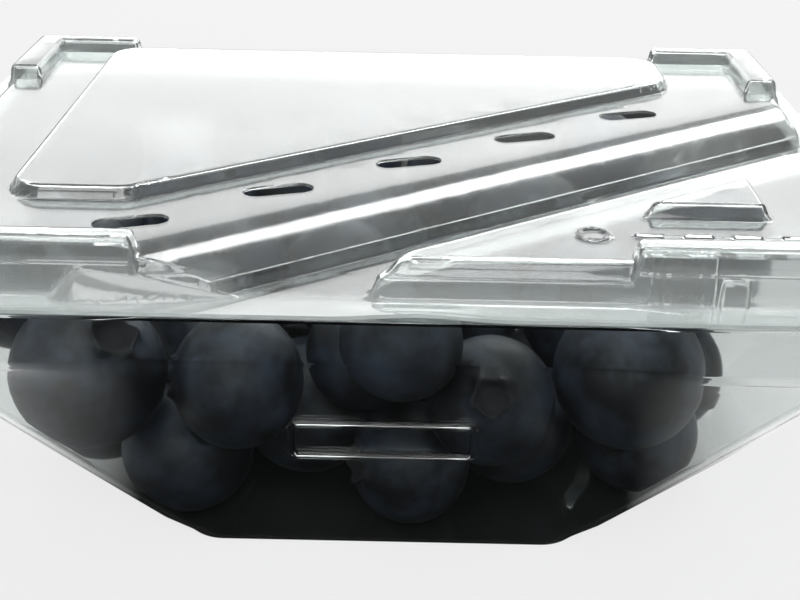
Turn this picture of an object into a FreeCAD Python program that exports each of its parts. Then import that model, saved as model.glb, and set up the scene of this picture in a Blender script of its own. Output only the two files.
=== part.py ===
import FreeCAD, Part
import math
import os

# Hinged clamshell fruit pack of clear formed sheet, closed, with its fruit inside.
# Millimetres. +X is the long way, +Y the hinge side, +Z up.
# The origin is at the middle of the tray's underside.

V = FreeCAD.Vector

# Formed sheet
SHEET = 0.4
LID_GAP = 0.1

# Flange, shared by the tray and the lid
FLANGE_LENGTH = 119.0
FLANGE_DEPTH = 91.0
FLANGE_WIDTH = 4.0
FLANGE_CORNER = 9.0

# Tray
TRAY_HEIGHT = 37.0
BAND_HEIGHT = 7.4
BAND_DRAFT = 0.6
END_DRAFT = 1.0
MOUTH_CORNER = 4.0
MOUTH_CORNER_ROUND = 5.0
FLOOR_LENGTH = 88.0
FLOOR_DEPTH = 61.0
FLOOR_FRONT_EDGE = 42.0
FLOOR_END_EDGE = 22.0
FLOOR_ROUND = 5.0
BULGE_LENGTH = 26.0
BULGE_DROP = 1.6
BULGE_PROUD = 1.2
PANEL_LENGTH = 21.0
PANEL_HEIGHT = 6.2
PANEL_RISE = 21.6
PANEL_RIM = 0.9
PANEL_PROUD = 0.5

# Lid
DECK_RISE = 4.0
LEDGE_DROP = 1.7
DECK_BEVEL = 1.1
LID_DRAFT = 0.6
LID_CORNER = 6.0

# Diagonal channel across the lid, measured from the row of vents
DIAGONAL_ANGLE = 35.5
VENT_MIDDLE_X = 2.3
VENT_MIDDLE_Y = -10.5
SHOULDER_START = 5.8
SHOULDER_WIDTH = 8.4
SHOULDER_DROP = 2.4
SHOULDER_CREST = 0.6
SHOULDER_FALL_POWER = 2.2
CREST_SHARE = 0.55
WAVE_STEPS = 16
STEP_DRAFT = 0.5
CHANNEL_WIDTH = 9.0
CHANNEL_DRAFT = 1.2

# Vents
VENT_COUNT = 5
VENT_PITCH = 18.1
VENT_LENGTH = 8.2
VENT_WIDTH = 3.2
VENT_ANGLE = 18.0

# Raised label panel
PLATEAU_RISE = 1.5
PLATEAU_LEFT = -42.5
PLATEAU_RIGHT = 39.5
PLATEAU_FRONT = -25.7
PLATEAU_REAR = 36.2
PLATEAU_SETBACK = 5.6
PLATEAU_CORNER = 4.5
PLATEAU_DRAFT = 0.7

# Stacking lugs on the lid's corners
LUG_RISE = 1.9
LUG_LEG_X = 31.0
LUG_REAR_LEG_X = 17.0
LUG_LEG_Y = 20.0
LUG_WIDTH = 4.8
LUG_SIDE_WIDTH = 6.0
LUG_PROUD = 1.2
LUG_DRAFT = 0.6
LUG_CORNER = 1.5
LUG_DEPTH = 2.6

# Small raised shapes on the lid's front triangle
NUB_X = 41.8
NUB_Y = -27.6
NUB_LENGTH = 15.4
NUB_RISE = 1.6
NUB_CORNER = 0.9
NUB_DRAFT = 0.7
MARK_RISE = 0.35
RING_RADIUS = 1.9
RING_RIM = 0.6
MARK_LINE_Y = -32.7
RING_X = 21.8
BAR_START_X = 26.0
BAR_LENGTH = 3.4
BAR_WIDTH = 1.0
BAR_PITCH = 5.2
BAR_COUNT = 4

# Finger grip and closing button on the front wall
GRIP_X = 27.4
GRIP_LENGTH = 5.6
GRIP_RIBS = 5
GRIP_RIB_WIDTH = 0.6
GRIP_PROUD = 0.35
BUTTON_X = 34.9
BUTTON_LENGTH = 3.6
BUTTON_HEIGHT = 2.2
BUTTON_RISE = 1.3
BUTTON_PROUD = 0.5
DETAIL_ROOT = 1.0

# Folded hinge: a round bead behind the flanges, split level with the hinge line
HINGE_INSET = 8.0
HINGE_RADIUS = 1.2
HINGE_REACH = 0.9
HINGE_ROOT_ANGLE = 20.0

# Fruit
BERRY_GAP = 0.16
CALYX_RATIO = 0.26
CALYX_DEPTH_RATIO = 0.14
FILL_LIMIT = 36.0
BERRY_LIMIT = 58
BERRY_RADII = (8.7, 7.5, 9.2, 8.1, 6.9, 8.9, 7.7, 8.4)
LOWER_LAYER_TOP = 12.0
# Fruit that shows at the front wall, left to right: place along X and radius
FRONT_ROW = ((-34.0, 9.0), (-16.8, 7.9), (-2.4, 7.2), (12.2, 7.5), (28.4, 9.0), (1.8, 6.9))
# The front right corner holds no fruit past these lines
BARE_CORNER_X = 37.5
BARE_CORNER_Y = -4.0
# How the fruit is turned: lean of its calyx from upright, spread evenly by the golden share
LEAN_LEAST = 25.0
LEAN_SPREAD = 130.0
GOLDEN_SHARE = 0.618034
SEARCH_STEP = 1.6
SEARCH_FINEST = 0.02

# Derived heights
TRAY_FLANGE_LOW = TRAY_HEIGHT - SHEET
LID_LOW = TRAY_HEIGHT + LID_GAP
LID_FLANGE_TOP = LID_LOW + SHEET
DECK_TOP = LID_FLANGE_TOP + DECK_RISE
CREASE_Z = TRAY_HEIGHT - BAND_HEIGHT

# Derived plan sizes: half lengths of the tray's mouth, outside of the sheet
MOUTH_X = FLANGE_LENGTH / 2 - FLANGE_WIDTH
MOUTH_Y = FLANGE_DEPTH / 2 - FLANGE_WIDTH
CREASE_X = MOUTH_X - END_DRAFT
CREASE_Y = MOUTH_Y - BAND_DRAFT
FLOOR_X = FLOOR_LENGTH / 2
FLOOR_Y = FLOOR_DEPTH / 2
FLOOR_CUT_X = FLOOR_X - FLOOR_FRONT_EDGE / 2
FLOOR_CUT_Y = FLOOR_Y - FLOOR_END_EDGE / 2

# Derived unit vectors of the diagonal: along it, and towards the rear left
ALONG = V(math.cos(math.radians(DIAGONAL_ANGLE)), math.sin(math.radians(DIAGONAL_ANGLE)), 0)
ACROSS = V(-ALONG.y, ALONG.x, 0)
VENT_MIDDLE = V(VENT_MIDDLE_X, VENT_MIDDLE_Y, 0)
SHOULDER_END = SHOULDER_START + SHOULDER_WIDTH
CHANNEL_END = SHOULDER_END + CHANNEL_WIDTH


def rounded_outline(corners, radii, z):
    """Closed wire through level corners, each rounded to its own radius."""
    count = len(corners)
    edges = []
    starts = []
    ends = []
    middles = []
    for i in range(count):
        here = V(corners[i][0], corners[i][1], z)
        before = V(corners[i - 1][0], corners[i - 1][1], z)
        after = V(corners[(i + 1) % count][0], corners[(i + 1) % count][1], z)
        back = (before - here).normalize()
        forth = (after - here).normalize()
        half = back.getAngle(forth) / 2
        reach = radii[i] / math.tan(half)
        bisector = (back + forth).normalize()
        centre = here + bisector * (radii[i] / math.sin(half))
        starts.append(here + back * reach)
        ends.append(here + forth * reach)
        middles.append(centre - bisector * radii[i])
    for i in range(count):
        edges.append(Part.Arc(starts[i], middles[i], ends[i]).toShape())
        edges.append(Part.LineSegment(ends[i], starts[(i + 1) % count]).toShape())
    return Part.Wire(edges)


def rounded_rectangle(half_x, half_y, radius, z):
    """Level rounded rectangle about the Z axis."""
    corners = ((-half_x, -half_y), (half_x, -half_y), (half_x, half_y), (-half_x, half_y))
    return rounded_outline(corners, (radius,) * 4, z)


def stacked(wires):
    """Solid with straight walls from each wire to the next."""
    return Part.makeLoft(wires, True, True)


def slab(wire, height):
    """Upright solid on a level wire."""
    return Part.Face(wire).extrude(V(0, 0, height))


def eight_sided(half_x, half_y, cut_x, cut_y, radius, z):
    """Level rectangle about the Z axis with its corners cut off, and every corner rounded."""
    quarter = ((half_x - cut_x, half_y), (half_x, half_y - cut_y))
    corners = []
    for side_x, side_y, order in ((-1, -1, -1), (1, -1, 1), (1, 1, -1), (-1, 1, 1)):
        for x, y in quarter[::order]:
            corners.append((x * side_x, y * side_y))
    return rounded_outline(corners, (radius,) * 8, z)


def band_outline(half_x, half_y, z):
    """Outline of the tray's band at one level."""
    return eight_sided(half_x, half_y, MOUTH_CORNER, MOUTH_CORNER, MOUTH_CORNER_ROUND, z)


def tray_body(inset):
    """Body of the tray under its band, with four slanting corner walls; inset gives the inside."""
    crease = band_outline(CREASE_X - inset, CREASE_Y - inset, CREASE_Z)
    floor = eight_sided(
        FLOOR_X - inset, FLOOR_Y - inset, FLOOR_CUT_X, FLOOR_CUT_Y, FLOOR_ROUND, inset
    )
    return stacked([floor, crease])


def tray_band(inset, top):
    """Upper band of the tray, from the crease to its mouth."""
    crease = band_outline(CREASE_X - inset, CREASE_Y - inset, CREASE_Z)
    mouth = band_outline(MOUTH_X - inset, MOUTH_Y - inset, top)
    return stacked([crease, mouth])


def tray_bulges(inset, top):
    """Fuller end sections of the band, proud of the long walls and reaching a little lower."""
    low_z = CREASE_Z - BULGE_DROP + inset
    low = band_outline(CREASE_X - inset, CREASE_Y + BULGE_PROUD / 2 - inset, low_z)
    mouth = band_outline(MOUTH_X - inset, MOUTH_Y + BULGE_PROUD - inset, top)
    half_gap = MOUTH_X - BULGE_LENGTH + inset
    middle = Part.makeBox(2 * half_gap, FLANGE_DEPTH, TRAY_HEIGHT)
    middle.translate(V(-half_gap, -FLANGE_DEPTH / 2, 0))
    return stacked([low, mouth]).cut(middle)


def tray_form(inset, top):
    """Whole form of the tray; the inside form is the same with an inset."""
    return tray_body(inset).fuse(tray_band(inset, top)).fuse(tray_bulges(inset, top))


def wall_panel():
    """Plain raised rounded frame on the tray's front wall."""
    lean = math.degrees(math.atan2(CREASE_Y - FLOOR_Y, CREASE_Z))
    middle_z = PANEL_RISE - PANEL_HEIGHT / 2
    face_y = -(FLOOR_Y + (CREASE_Y - FLOOR_Y) * middle_z / CREASE_Z)
    outer = slab(rounded_rectangle(PANEL_LENGTH / 2, PANEL_HEIGHT / 2, PANEL_RIM, 0), 2 * PANEL_PROUD)
    hole = rounded_rectangle(PANEL_LENGTH / 2 - PANEL_RIM, PANEL_HEIGHT / 2 - PANEL_RIM, PANEL_RIM / 2, 0)
    frame = outer.cut(slab(hole, 2 * PANEL_PROUD))
    frame.translate(V(0, 0, -PANEL_PROUD))
    frame.rotate(V(0, 0, 0), V(1, 0, 0), 90 + lean)
    frame.translate(V(0, face_y, middle_z))
    return frame


def make_tray():
    """Tray shell with its flange."""
    flange = slab(
        rounded_rectangle(FLANGE_LENGTH / 2, FLANGE_DEPTH / 2, FLANGE_CORNER, TRAY_FLANGE_LOW), SHEET
    )
    outer = tray_form(0, TRAY_HEIGHT).fuse(flange).fuse(wall_panel()).fuse(hinge_lip(-1))
    inner = tray_form(SHEET, TRAY_HEIGHT)
    return outer.cut(inner).removeSplitter()


def diagonal_prism(profile):
    """Solid of a (distance from the vents, height) profile, run along the diagonal."""
    reach = FLANGE_LENGTH
    points = [VENT_MIDDLE - ACROSS * d - ALONG * reach + V(0, 0, z) for d, z in profile]
    edges = []
    for i in range(len(points)):
        after = points[(i + 1) % len(points)]
        edges.append(Part.LineSegment(points[i], after).toShape())
    return Part.Face(Part.Wire(edges)).extrude(ALONG * 2 * reach)


def shoulder_wave(inset):
    """Points of the soft wave from the rear deck down to the channel's step."""
    points = []
    for i in range(WAVE_STEPS + 1):
        share = i / WAVE_STEPS
        distance = SHOULDER_START + SHOULDER_WIDTH * share
        fall = SHOULDER_DROP * share ** SHOULDER_FALL_POWER
        crest = SHOULDER_CREST * math.sin(math.pi * min(1.0, share / CREST_SHARE)) ** 2
        points.append((distance - inset * share, DECK_TOP - fall + crest - inset))
    return points


def rear_deck_profile(inset):
    """Section of the rear deck, with its shoulder and the step into the channel."""
    base = LID_LOW
    profile = [(-FLANGE_DEPTH, base), (-FLANGE_DEPTH, DECK_TOP - inset)]
    profile += shoulder_wave(inset)
    profile.append((SHOULDER_END + STEP_DRAFT - inset, base))
    return profile


def front_deck_profile(inset):
    """Section of the front deck, beyond the channel."""
    base = LID_LOW
    top = DECK_TOP - inset
    return [
        (CHANNEL_END - CHANNEL_DRAFT + inset, base),
        (CHANNEL_END + inset, top),
        (CHANNEL_END + FLANGE_DEPTH, top),
        (CHANNEL_END + FLANGE_DEPTH, base),
    ]


def lid_block(inset):
    """Block inside the lid's outer walls, which bevel in towards the deck."""
    ledge_z = DECK_TOP - LEDGE_DROP
    low = rounded_rectangle(MOUTH_X - inset, MOUTH_Y - inset, LID_CORNER, LID_LOW)
    ledge_x = MOUTH_X - LID_DRAFT - inset
    ledge_y = MOUTH_Y - LID_DRAFT - inset
    ledge = rounded_rectangle(ledge_x, ledge_y, LID_CORNER, ledge_z - inset / 2)
    rim = rounded_rectangle(ledge_x - DECK_BEVEL, ledge_y - DECK_BEVEL, LID_CORNER, DECK_TOP - inset)
    crown = slab(rim, SHOULDER_CREST + inset)
    return stacked([low, ledge]).fuse(stacked([ledge, rim])).fuse(crown)


def plateau(inset):
    """Raised panel of the rear deck, cut off along the diagonal."""
    def diagonal_at(y):
        edge = VENT_MIDDLE + ACROSS * PLATEAU_SETBACK
        return edge.x + (y - edge.y) * ALONG.x / ALONG.y

    def diagonal_y(x):
        edge = VENT_MIDDLE + ACROSS * PLATEAU_SETBACK
        return edge.y + (x - edge.x) * ALONG.y / ALONG.x

    corners = [
        (PLATEAU_LEFT, PLATEAU_FRONT),
        (diagonal_at(PLATEAU_FRONT), PLATEAU_FRONT),
        (PLATEAU_RIGHT, diagonal_y(PLATEAU_RIGHT)),
        (PLATEAU_RIGHT, PLATEAU_REAR),
        (PLATEAU_LEFT, PLATEAU_REAR),
    ]
    return tapered(corners, PLATEAU_CORNER, PLATEAU_DRAFT, inset, DECK_TOP - SHEET, DECK_TOP + PLATEAU_RISE)


def tapered(corners, radius, draft, inset, low, high):
    """Solid on a convex outline whose walls lean in by the draft; inset shrinks it all round."""
    base = inward(corners, inset)
    top = inward(corners, inset + draft)
    radii = (radius,) * len(corners)
    foot = rounded_outline(base, radii, low - inset)
    head = rounded_outline(top, radii, high - inset)
    return stacked([foot, head])


def inward(corners, distance):
    """Corners of a convex outline, anticlockwise, with each side moved in by the distance."""
    count = len(corners)
    moved = []
    for i in range(count):
        here = V(corners[i][0], corners[i][1], 0)
        before = V(corners[i - 1][0], corners[i - 1][1], 0)
        after = V(corners[(i + 1) % count][0], corners[(i + 1) % count][1], 0)
        back = (here - before).normalize()
        forth = (after - here).normalize()
        half = math.sin(back.getAngle(forth) / 2 + math.pi / 2)
        normal = V(-(back + forth).y, (back + forth).x, 0).normalize()
        point = here + normal * (distance / half)
        moved.append((point.x, point.y))
    return moved


def lug(side_x, side_y, leg_x, inset):
    """L-shaped stacking lug on one corner of the lid."""
    outer_x = MOUTH_X - LID_DRAFT + LUG_PROUD / 2
    outer_y = MOUTH_Y - LID_DRAFT - DECK_BEVEL / 2 + LUG_PROUD
    low = DECK_TOP - LUG_DEPTH
    high = DECK_TOP + LUG_RISE
    long_leg = ((outer_x - leg_x, outer_y - LUG_WIDTH), (outer_x, outer_y))
    side_leg = ((outer_x - LUG_SIDE_WIDTH, outer_y - LUG_LEG_Y), (outer_x, outer_y))
    solid = None
    for (x0, y0), (x1, y1) in (long_leg, side_leg):
        corners = [(x0, y0), (x1, y0), (x1, y1), (x0, y1)]
        placed = [(x * side_x, y * side_y) for x, y in corners]
        if side_x * side_y < 0:
            placed.reverse()
        leg = tapered(placed, LUG_CORNER - inset, LUG_DRAFT, inset, low, high)
        solid = leg if solid is None else solid.fuse(leg)
    return solid


def lugs(inset):
    """All four stacking lugs."""
    solid = None
    for side_x in (-1, 1):
        for side_y, leg_x in ((-1, LUG_LEG_X), (1, LUG_REAR_LEG_X)):
            one = lug(side_x, side_y, leg_x, inset)
            solid = one if solid is None else solid.fuse(one)
    return solid


def nub(inset):
    """Small three-cornered stop on the front deck, its long side along the diagonal."""
    depth = NUB_LENGTH * ALONG.y / ALONG.x
    corners = [(NUB_X - NUB_LENGTH, NUB_Y), (NUB_X, NUB_Y), (NUB_X, NUB_Y + depth)]
    return tapered(corners, NUB_CORNER, NUB_DRAFT, inset, DECK_TOP - SHEET, DECK_TOP + NUB_RISE)


def marks():
    """Plain ring and bars raised on the front deck."""
    low = DECK_TOP - SHEET / 2
    height = SHEET / 2 + MARK_RISE
    ring = Part.makeCylinder(RING_RADIUS, height).cut(Part.makeCylinder(RING_RADIUS - RING_RIM, height))
    ring.translate(V(RING_X, MARK_LINE_Y, low))
    solids = [ring]
    for i in range(BAR_COUNT):
        bar = slab(rounded_rectangle(BAR_LENGTH / 2, BAR_WIDTH / 2, BAR_WIDTH / 3, low), height)
        bar.translate(V(BAR_START_X + BAR_PITCH * i + BAR_LENGTH / 2, MARK_LINE_Y, 0))
        solids.append(bar)
    return solids


def front_wall_details():
    """Ribs of the finger grip, and the closing button."""
    wall_y = -(MOUTH_Y - LID_DRAFT)
    foot = LID_FLANGE_TOP - SHEET / 2
    solids = []
    for i in range(GRIP_RIBS):
        x = GRIP_X + GRIP_LENGTH * i / (GRIP_RIBS - 1)
        rib = Part.makeCylinder(GRIP_RIB_WIDTH / 2 + GRIP_PROUD, DECK_RISE)
        rib.translate(V(x, wall_y, foot))
        solids.append(rib)
    outline = rounded_rectangle(BUTTON_LENGTH / 2, BUTTON_HEIGHT / 2, BUTTON_HEIGHT / 4, 0)
    button = slab(outline, DETAIL_ROOT + BUTTON_PROUD)
    button.rotate(V(0, 0, 0), V(1, 0, 0), 90)
    button.translate(V(BUTTON_X, wall_y + DETAIL_ROOT - LID_DRAFT / 2, LID_FLANGE_TOP + BUTTON_RISE))
    solids.append(button)
    return solids


def vent(index):
    """Cutter for one vent of the row."""
    steps = index - (VENT_COUNT - 1) / 2
    corner = VENT_WIDTH / 2 - SHEET / 10
    cutter = slab(rounded_rectangle(VENT_LENGTH / 2, VENT_WIDTH / 2, corner, 0), 4 * SHEET)
    cutter.rotate(V(0, 0, 0), V(0, 0, 1), VENT_ANGLE)
    place = VENT_MIDDLE + ALONG * (VENT_PITCH * steps)
    cutter.translate(V(place.x, place.y, DECK_TOP - 2 * SHEET))
    return cutter


def lid_form(inset):
    """Everything raised above the lid's flange; the inside form is the same with an inset."""
    block = lid_block(inset)
    rear = diagonal_prism(rear_deck_profile(inset)).common(block)
    front = diagonal_prism(front_deck_profile(inset)).common(block)
    form = rear.fuse(front)
    return form.fuse(plateau(inset)).fuse(lugs(inset)).fuse(nub(inset))


def make_lid():
    """Lid shell with its flange, vents and raised shapes."""
    flange = slab(rounded_rectangle(FLANGE_LENGTH / 2, FLANGE_DEPTH / 2, FLANGE_CORNER, LID_LOW), SHEET)
    outer = lid_form(0).fuse(flange).fuse(hinge_lip(1))
    for detail in front_wall_details():
        outer = outer.fuse(detail)
    shell = outer.cut(lid_form(SHEET))
    for mark in marks():
        shell = shell.fuse(mark)
    for index in range(VENT_COUNT):
        shell = shell.cut(vent(index))
    return shell.removeSplitter()


def hinge_lip(side):
    """Half of the fold on the rear edge of one flange; side is 1 for the lid and -1 for the tray."""
    length = FLANGE_LENGTH - 2 * FLANGE_CORNER - 2 * HINGE_INSET
    middle = V(-length / 2, FLANGE_DEPTH / 2 + HINGE_REACH, TRAY_HEIGHT + LID_GAP / 2)
    root = math.radians(180 - HINGE_ROOT_ANGLE)
    split = math.asin(LID_GAP / 2 / (HINGE_RADIUS - SHEET))
    edges = []
    ends = []
    for radius in (HINGE_RADIUS, HINGE_RADIUS - SHEET):
        points = []
        for angle in (split, (split + root) / 2, root):
            points.append(middle + V(0, radius * math.cos(angle), side * radius * math.sin(angle)))
        edges.append(Part.Arc(points[0], points[1], points[2]).toShape())
        ends.append((points[0], points[2]))
    edges.append(Part.LineSegment(ends[0][0], ends[1][0]).toShape())
    edges.append(Part.LineSegment(ends[0][1], ends[1][1]).toShape())
    wire = Part.Wire(Part.__sortEdges__(edges))
    return Part.Face(wire).extrude(V(length, 0, 0))


def berry(radius):
    """One fruit about its own centre, with the dimple of its calyx on top."""
    rim = radius * CALYX_RATIO
    rim_z = math.sqrt(radius ** 2 - rim ** 2)
    foot = V(0, 0, -radius)
    edge = V(rim, 0, rim_z)
    pit = V(0, 0, rim_z - radius * CALYX_DEPTH_RATIO)
    side = Part.Arc(foot, V(radius, 0, 0), edge).toShape()
    dimple = Part.LineSegment(edge, pit).toShape()
    axis = Part.LineSegment(pit, foot).toShape()
    return Part.Face(Part.Wire([side, dimple, axis])).revolve(V(0, 0, 0), V(0, 0, 1), 360)


def wall_planes():
    """Inside planes of the tray's sloping walls: unit normal and offset."""
    planes = []
    spans = []
    for side_x, side_y in ((0, -1), (0, 1), (-1, 0), (1, 0)):
        foot = V(FLOOR_X * side_x, FLOOR_Y * side_y, 0)
        head = V(CREASE_X * side_x, CREASE_Y * side_y, CREASE_Z)
        spans.append((foot, head, V(side_y, -side_x, 0)))
    for side_x in (-1, 1):
        for side_y in (-1, 1):
            foot = V((FLOOR_X - FLOOR_CUT_X / 2) * side_x, (FLOOR_Y - FLOOR_CUT_Y / 2) * side_y, 0)
            reach = MOUTH_CORNER / 2
            head = V((CREASE_X - reach) * side_x, (CREASE_Y - reach) * side_y, CREASE_Z)
            spans.append((foot, head, V(FLOOR_CUT_X * side_x, -FLOOR_CUT_Y * side_y, 0)))
    for foot, head, level in spans:
        normal = (head - foot).cross(level).normalize()
        if normal.z < 0:
            normal = -normal
        offset = normal.dot(foot) + SHEET + BERRY_GAP
        planes.append((normal.x, normal.y, normal.z, offset))
    return planes


def resting_height(x, y, radius, planes, placed):
    """Lowest height at which a ball can rest over a spot, or None outside the band."""
    if abs(x) > CREASE_X - SHEET - radius or abs(y) > CREASE_Y - SHEET - radius:
        return None
    if x > BARE_CORNER_X and y < BARE_CORNER_Y:
        return None
    z = SHEET + radius
    for nx, ny, nz, offset in planes:
        z = max(z, (offset + radius - nx * x - ny * y) / nz)
    for px, py, pz, other in placed:
        flat = (px - x) ** 2 + (py - y) ** 2
        reach = (radius + other) ** 2
        if flat < reach:
            z = max(z, pz + math.sqrt(reach - flat))
    return z


def settle(x, y, radius, planes, placed, free_x):
    """Roll a ball downhill from a spot until no small move lowers it."""
    step = SEARCH_STEP
    z = resting_height(x, y, radius, planes, placed)
    while step > SEARCH_FINEST:
        best = (z, x, y)
        for turn in range(8):
            angle = turn * math.pi / 4
            new_x = x + step * math.cos(angle) * free_x
            new_y = y + step * math.sin(angle)
            new_z = resting_height(new_x, new_y, radius, planes, placed)
            if new_z is not None and new_z < best[0] - 1e-9:
                best = (new_z, new_x, new_y)
        if best[0] < z - 1e-9:
            z, x, y = best
        else:
            step /= 2
    return x, y, z


def lowest_spot(radius, planes, placed):
    """Lowest place in the tray for the next ball."""
    best = None
    count_x = int(CREASE_X / SEARCH_STEP)
    count_y = int(CREASE_Y / SEARCH_STEP)
    for i in range(-count_x, count_x + 1):
        for j in range(-count_y, count_y + 1):
            x = i * SEARCH_STEP
            y = j * SEARCH_STEP
            z = resting_height(x, y, radius, planes, placed)
            if z is not None and (best is None or z < best[2] - 1e-9):
                best = (x, y, z)
    if best is None:
        return None
    return settle(best[0], best[1], radius, planes, placed, 1.0)


def front_spot(x, radius, planes, placed):
    """Place for a ball against the front wall, rolled down it onto the fruit below."""
    best = None
    y = -(CREASE_Y - SHEET - radius)
    while y < radius - FLOOR_Y - SHEET:
        z = resting_height(x, y, radius, planes, placed)
        if z is not None and (best is None or z < best[1]):
            best = (y, z)
        y += SEARCH_STEP / 4
    if best is None:
        return None
    x, y, z = settle(x, best[0], radius, planes, placed, 0.0)
    return (x, y, z) if z + radius < FILL_LIMIT else None


def pack_berries():
    """Centres and radii of the fruit: a lower heap, the front row, then the rest."""
    planes = wall_planes()
    half_gap = BERRY_GAP / 2
    placed = []
    index = 0
    filling_low = True
    while filling_low:
        radius = BERRY_RADII[index % len(BERRY_RADII)] + half_gap
        spot = lowest_spot(radius, planes, placed)
        if spot is None or spot[2] > LOWER_LAYER_TOP:
            filling_low = False
        else:
            placed.append((spot[0], spot[1], spot[2], radius))
            index += 1
    for x, size in FRONT_ROW:
        radius = size + half_gap
        spot = front_spot(x, radius, planes, placed)
        if spot is not None:
            placed.append((spot[0], spot[1], spot[2], radius))
    misses = 0
    while len(placed) < BERRY_LIMIT and misses < len(BERRY_RADII):
        radius = BERRY_RADII[index % len(BERRY_RADII)] + half_gap
        spot = lowest_spot(radius, planes, placed)
        index += 1
        if spot is None or spot[2] + radius > FILL_LIMIT:
            misses += 1
        else:
            placed.append((spot[0], spot[1], spot[2], radius))
            misses = 0
    return [(x, y, z, radius - half_gap) for x, y, z, radius in placed]


def make_berries():
    """All the fruit, each turned its own way."""
    fruit = []
    for i, (x, y, z, radius) in enumerate(pack_berries()):
        solid = berry(radius)
        lean = LEAN_LEAST + LEAN_SPREAD * ((i * (1 - GOLDEN_SHARE)) % 1.0)
        heading = 360 * ((i * GOLDEN_SHARE) % 1.0)
        solid.rotate(V(0, 0, 0), V(0, 1, 0), lean)
        solid.rotate(V(0, 0, 0), V(0, 0, 1), heading)
        solid.translate(V(x, y, z))
        fruit.append(solid)
    return fruit


def main():
    os.makedirs("parts", exist_ok=True)
    nodes = {"tray": make_tray(), "lid": make_lid()}
    for number, solid in enumerate(make_berries(), 1):
        nodes["berry_%02d" % number] = solid
    for name, shape in nodes.items():
        box = shape.BoundBox
        print(name, shape.ShapeType, len(shape.Solids), shape.isValid(), round(shape.Volume, 1),
              [round(v, 2) for v in (box.XMin, box.XMax, box.YMin, box.YMax, box.ZMin, box.ZMax)])
        shape.exportStep("parts/%s.step" % name)


main()
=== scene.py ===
"""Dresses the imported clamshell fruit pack: clear formed sheet, blue fruit, a pale studio and the camera.

Sizes are millimetres until a mesh is finished, and then metres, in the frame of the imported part:
+X is the long way, +Y the hinge side, +Z up, with the origin under the middle of the tray.
"""
from __future__ import annotations

import logging
import math
from collections.abc import Callable, Sequence
from dataclasses import dataclass, field
from enum import Enum

import bmesh
import bpy
from mathutils import Matrix, Vector

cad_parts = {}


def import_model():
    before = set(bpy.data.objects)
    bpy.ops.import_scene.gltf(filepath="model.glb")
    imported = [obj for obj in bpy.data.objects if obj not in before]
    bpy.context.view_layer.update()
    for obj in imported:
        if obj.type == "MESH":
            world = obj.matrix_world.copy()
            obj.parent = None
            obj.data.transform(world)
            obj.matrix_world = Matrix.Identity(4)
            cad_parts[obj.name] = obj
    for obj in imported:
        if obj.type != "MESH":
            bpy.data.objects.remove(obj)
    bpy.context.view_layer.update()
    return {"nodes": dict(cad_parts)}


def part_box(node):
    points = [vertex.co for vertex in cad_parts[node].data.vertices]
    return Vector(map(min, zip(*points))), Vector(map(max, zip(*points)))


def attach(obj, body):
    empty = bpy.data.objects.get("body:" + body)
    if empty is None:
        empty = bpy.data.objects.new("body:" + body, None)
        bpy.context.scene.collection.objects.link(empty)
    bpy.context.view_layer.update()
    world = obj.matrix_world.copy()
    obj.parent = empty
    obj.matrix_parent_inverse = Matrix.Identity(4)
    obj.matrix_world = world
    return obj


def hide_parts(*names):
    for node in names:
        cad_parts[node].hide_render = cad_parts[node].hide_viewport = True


LOG = logging.getLogger("fruit_pack")
MM = 0.001
Profile = Sequence[tuple[float, float]]
Point = tuple[float, float]
Box = tuple[float, float, float, float]

# Edges that fold more than this, in degrees, stay sharp, and wide faces hold this share of a normal
SHARP_FOLD = 58
FLAT_FACE_WEIGHT = 60
# The folded bead of the hinge: its middle along Y and Z, its radius, half its length, and the
# angles at which each half's curl has its edges
HINGE_CENTRE: Point = (46.4, 37.05)
HINGE_RADIUS = 1.2
HINGE_HALF_LENGTH = 42.5
HINGE_ANGLES = (138.0, 115.0, 92.0, 70.0, 48.0, 26.0, 4.0)
# Slack for finding edges by their place, and the longest side of a sliver that is merged away
PLACE_SLACK = 0.01
SLIVER = 0.02


class Half(Enum):
    """The two halves of the folded sheet, with the way each one's hinge lip curls."""

    TRAY = -1
    LID = 1


def linear(hex_colour: str) -> tuple[float, float, float, float]:
    """Turn an sRGB hex colour into linear light.

    Args:
        hex_colour: Six hex digits after a hash.

    Returns:
        Red, green, blue and an alpha of 1.
    """
    channels = []
    for start in (1, 3, 5):
        share = int(hex_colour[start:start + 2], 16) / 255
        channels.append(share / 12.92 if share <= 0.04045 else ((share + 0.055) / 1.055) ** 2.4)
    return (channels[0], channels[1], channels[2], 1.0)


def add_node(tree: bpy.types.NodeTree, kind: str, inputs: dict | None = None, **settings) -> bpy.types.Node:
    """Add a node, set its properties and fill its inputs.

    Args:
        tree: The node tree it goes into.
        kind: The node's type name.
        inputs: Value or source socket for each input, by name or number.
        settings: Properties of the node itself.

    Returns:
        The new node.
    """
    node = tree.nodes.new(kind)
    for name, value in settings.items():
        setattr(node, name, value)
    for name, value in (inputs or {}).items():
        if isinstance(value, bpy.types.NodeSocket):
            tree.links.new(value, node.inputs[name])
        else:
            node.inputs[name].default_value = value
    return node


def calculated(tree: bpy.types.NodeTree, operation: str,
               *values: bpy.types.NodeSocket | float) -> bpy.types.NodeSocket:
    """Add a math node.

    Args:
        tree: The node tree it goes into.
        operation: What it does.
        values: Its inputs, as values or source sockets.

    Returns:
        The socket with the result.
    """
    return add_node(tree, "ShaderNodeMath", dict(enumerate(values)), operation=operation).outputs["Value"]


def new_material(name: str) -> tuple[bpy.types.Material, bpy.types.NodeTree, bpy.types.Node]:
    """Make an empty node material.

    Args:
        name: The material's name.

    Returns:
        The material, its node tree and its output node.
    """
    material = bpy.data.materials.new(name)
    material.use_nodes = True
    tree = material.node_tree
    tree.nodes.clear()
    return material, tree, add_node(tree, "ShaderNodeOutputMaterial")


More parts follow.
